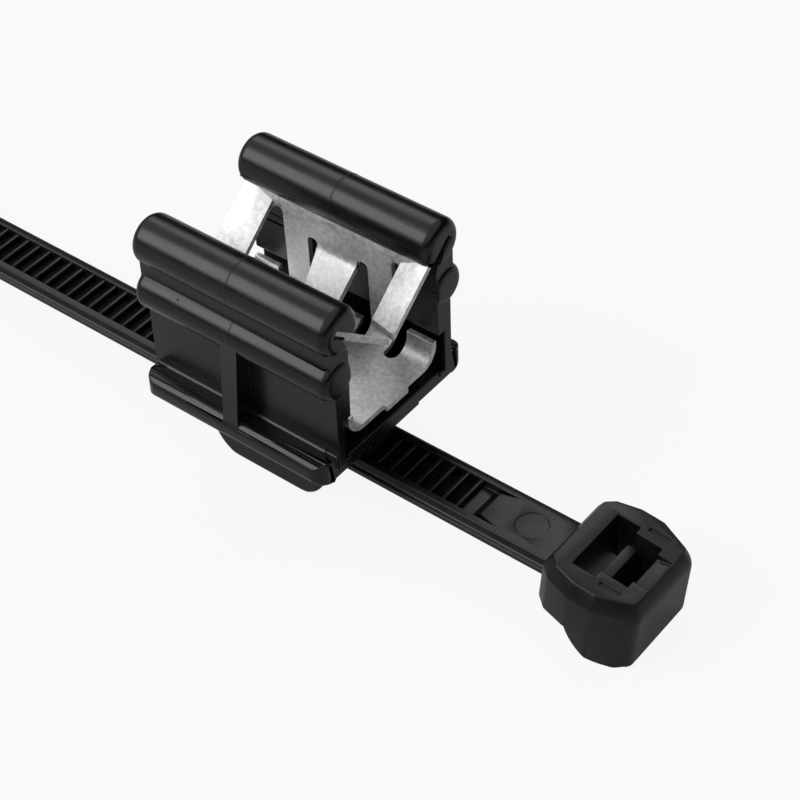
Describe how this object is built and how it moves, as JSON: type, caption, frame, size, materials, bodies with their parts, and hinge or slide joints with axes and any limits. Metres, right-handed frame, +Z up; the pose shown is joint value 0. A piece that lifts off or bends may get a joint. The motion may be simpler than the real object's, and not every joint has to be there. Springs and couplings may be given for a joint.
{
  "type": "cable tie with edge-clip mount",
  "caption": "Toothed cable tie that slides through a loop under a push-on panel-edge clip, whose channel holds a folded spring sheet with inward gripping tabs.",
  "frame": {"origin": "under the middle of the clip, at the level of the loop's flat underside", "axes": "+X along the strap towards the tie's head, +Y across the strap, +Z up towards the clip's open mouth"},
  "size_m": [0.1998, 0.0144, 0.0195],
  "materials": {
    "nylon_clip": "black nylon, moulded, soft sheen",
    "spring_steel": "zinc-plated spring sheet, mottled pale grey",
    "nylon_tie": "black nylon, moulded, soft sheen"
  },
  "bodies": {
    "clip": {"clip_body": "nylon_clip", "spring_insert": "spring_steel"},
    "tie": {"cable_tie": "nylon_tie"}
  },
  "joints": [
    {"name": "strap_slide", "type": "slide", "parent": "clip", "child": "tie", "axis": [1, 0, 0], "range_m": [-0.0125, 0.15]}
  ]
}
